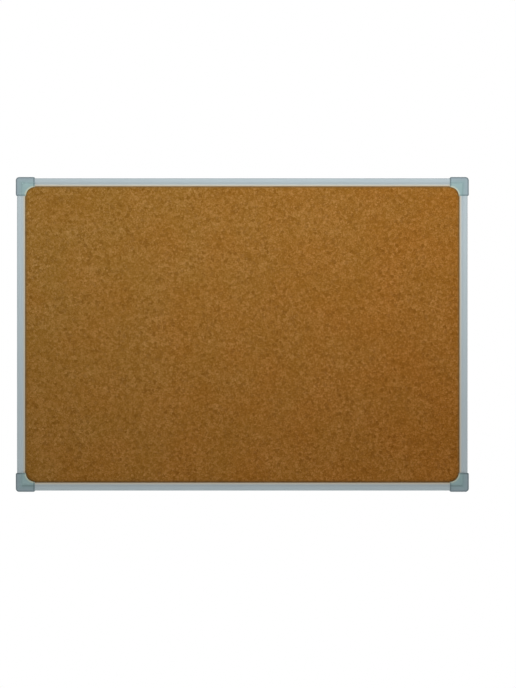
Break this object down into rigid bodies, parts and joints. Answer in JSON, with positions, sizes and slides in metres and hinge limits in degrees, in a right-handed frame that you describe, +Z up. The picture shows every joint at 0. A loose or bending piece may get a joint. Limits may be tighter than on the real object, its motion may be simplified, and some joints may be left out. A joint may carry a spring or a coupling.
{
  "type": "cork board",
  "caption": "Wall-hung cork board: cork-faced panel in a slim aluminium frame with moulded corner caps and sliding keyhole hangers.",
  "frame": {"origin": "middle of the top rail's rear face, where the board meets the wall", "axes": "+X along the board's width to the viewer's right, +Y into the wall, +Z up; the cork faces -Y"},
  "size_m": [0.6, 0.0182, 0.417],
  "materials": {
    "cork": "matte",
    "softboard": "matte",
    "backing": "matte",
    "frame_aluminium": "satin",
    "cap_plastic": "satin",
    "screw_steel": "satin",
    "hanger_steel": "satin"
  },
  "bodies": {
    "board": {"cork_sheet": "cork", "core_board": "softboard", "back_sheet": "backing", "rail_top": "frame_aluminium", "rail_bottom": "frame_aluminium", "rail_left": "frame_aluminium", "rail_right": "frame_aluminium", "cap_top_left": "cap_plastic", "cap_top_right": "cap_plastic", "cap_bottom_left": "cap_plastic", "cap_bottom_right": "cap_plastic", "cap_screw_top_left_a": "screw_steel", "cap_screw_top_left_b": "screw_steel", "cap_screw_top_right_a": "screw_steel", "cap_screw_top_right_b": "screw_steel", "cap_screw_bottom_left_a": "screw_steel", "cap_screw_bottom_left_b": "screw_steel", "cap_screw_bottom_right_a": "screw_steel", "cap_screw_bottom_right_b": "screw_steel"},
    "hanger_left": {"hanger_left": "hanger_steel"},
    "hanger_right": {"hanger_right": "hanger_steel"}
  },
  "joints": [
    {"name": "hanger_left_slide", "type": "slide", "parent": "board", "child": "hanger_left", "axis": [1, 0, 0], "range_m": [-0.0975, 0.1325]},
    {"name": "hanger_right_slide", "type": "slide", "parent": "board", "child": "hanger_right", "axis": [1, 0, 0], "range_m": [-0.1325, 0.0975]}
  ]
}
